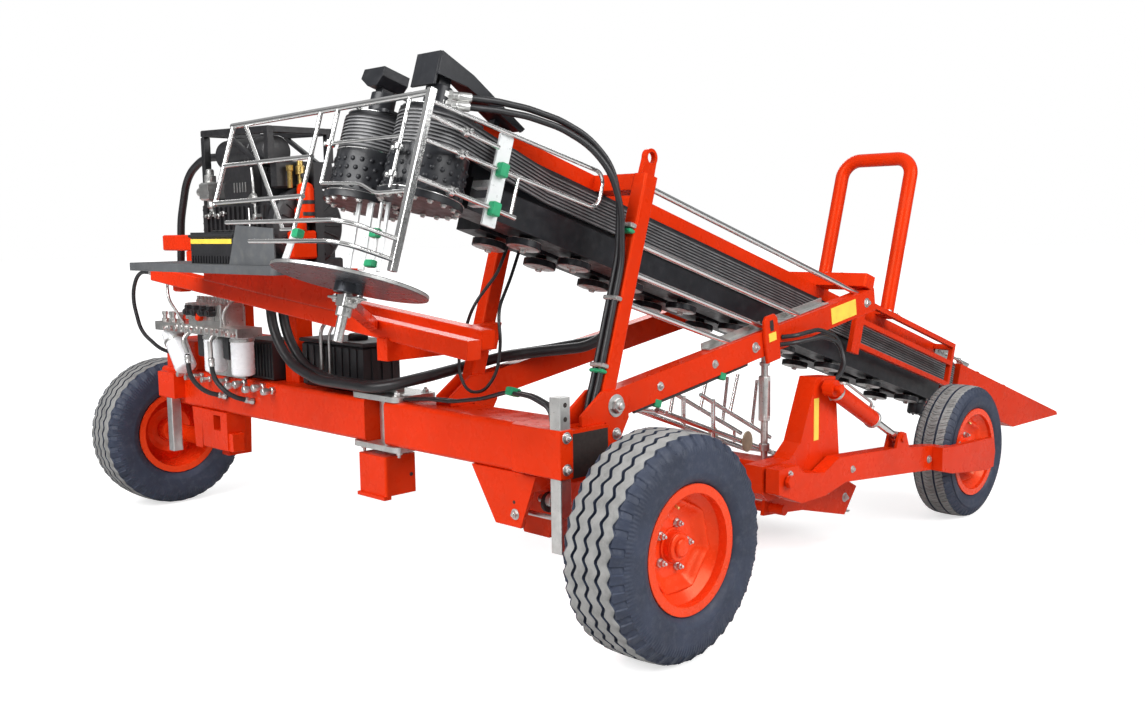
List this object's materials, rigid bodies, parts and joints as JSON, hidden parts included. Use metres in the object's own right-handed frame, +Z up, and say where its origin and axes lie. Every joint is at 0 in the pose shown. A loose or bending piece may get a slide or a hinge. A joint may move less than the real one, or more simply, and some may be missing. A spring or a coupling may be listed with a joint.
{
  "type": "seedling lifter",
  "caption": "Trailed seedling lifter: inclined pair of gripping belts over a digging share, depth wheel on a hydraulic arm, rear turntable and table, engine at the side.",
  "frame": {"origin": "on the ground under the middle of the machine's plan", "axes": "+X forward, the way it travels; +Y to the machine's left; +Z up"},
  "size_m": [5.3222, 3.664, 1.9671],
  "materials": {
    "tyre": "matt",
    "rim_red": "gloss",
    "red_paint": "gloss",
    "zinc": "satin",
    "belt_rubber": "matt",
    "black_steel": "satin",
    "bright_tube": "polished",
    "board_grey": "matt",
    "black_plastic": "matt",
    "engine_black": "satin",
    "filter_white": "gloss",
    "hose_rubber": "satin",
    "white_plate": "satin"
  },
  "bodies": {
    "chassis": {"beam_right": "red_paint", "beam_left": "red_paint", "hitch_box": "red_paint", "left_bracket": "red_paint", "axle_brackets": "red_paint", "axles": "red_paint", "posts": "red_paint", "lift_arms": "red_paint", "pivot_plates": "red_paint", "cross_members": "red_paint", "lifting_eye_post": "red_paint", "top_beams": "red_paint", "hoop": "red_paint", "lower_guard": "red_paint", "dividers": "red_paint", "platform_arms": "red_paint", "platform_cross": "red_paint", "turntable_bracket": "red_paint", "board_bracket": "red_paint", "engine_stand": "red_paint", "oil_tank": "red_paint", "share_beam": "red_paint", "lower_links": "red_paint", "tower": "red_paint", "share_sides": "red_paint", "lower_tube": "red_paint", "kingpin_flange": "zinc", "height_legs": "zinc", "turnbuckle": "zinc", "turntable_bearing": "zinc", "valve_block": "zinc", "share_blade": "zinc", "belt_right": "belt_rubber", "belt_left": "belt_rubber", "drums": "black_steel", "belt_carriers": "black_steel", "belt_pulleys": "black_steel", "drum_motors": "black_steel", "side_tubes": "bright_tube", "rail_frame": "bright_tube", "guard_rails": "bright_tube", "soil_shaker": "bright_tube", "hoses": "hose_rubber", "rail_plate": "white_plate", "table_board": "board_grey", "board_sheet": "board_grey", "battery": "black_plastic", "engine": "engine_black", "filters": "filter_white"},
    "rear_right_wheel": {"tyre_rear_right": "tyre", "rim_rear_right": "rim_red"},
    "rear_left_wheel": {"tyre_rear_left": "tyre", "rim_rear_left": "rim_red"},
    "front_wheel": {"tyre_front": "tyre", "rim_front": "rim_red"},
    "wheel_arm": {"wheel_arm": "red_paint"},
    "cylinder_barrel": {"cylinder_barrel": "red_paint"},
    "cylinder_rod": {"cylinder_rod": "bright_tube"},
    "turntable": {"turntable": "board_grey"}
  },
  "joints": [
    {"name": "rear_right_spin", "type": "hinge", "parent": "chassis", "child": "rear_right_wheel", "pos_m": [-1.58331, -1.7, 0.38], "axis": [0, 1, 0], "continuous": true},
    {"name": "rear_left_spin", "type": "hinge", "parent": "chassis", "child": "rear_left_wheel", "pos_m": [-1.62631, 1.7, 0.38], "axis": [0, 1, 0], "continuous": true},
    {"name": "depth_arm", "type": "hinge", "parent": "chassis", "child": "wheel_arm", "pos_m": [-0.80331, -1.62, 0.45], "axis": [0, 1, 0], "range_deg": [-11, 6]},
    {"name": "front_spin", "type": "hinge", "parent": "wheel_arm", "child": "front_wheel", "pos_m": [0.81069, -1.549, 0.3175], "axis": [0, 1, 0], "continuous": true},
    {"name": "cylinder_swing", "type": "hinge", "parent": "chassis", "child": "cylinder_barrel", "pos_m": [-0.45331, -1.62, 0.765], "axis": [0, 1, 0], "range_deg": [-15.5, 8.5]},
    {"name": "cylinder_stroke", "type": "slide", "parent": "cylinder_barrel", "child": "cylinder_rod", "axis": [0.8876, 0, -0.4606], "range_m": [-0.088, 0.05]},
    {"name": "turntable_spin", "type": "hinge", "parent": "chassis", "child": "turntable", "pos_m": [-2.43504, -1.2, 1.25884], "axis": [0.3007, 0, 0.9537], "continuous": true}
  ],
  "couplings": [
    {"joint": "cylinder_swing", "follows": "depth_arm", "ratio": 1.33},
    {"joint": "cylinder_stroke", "follows": "depth_arm", "m_per_rad": 0.43}
  ]
}
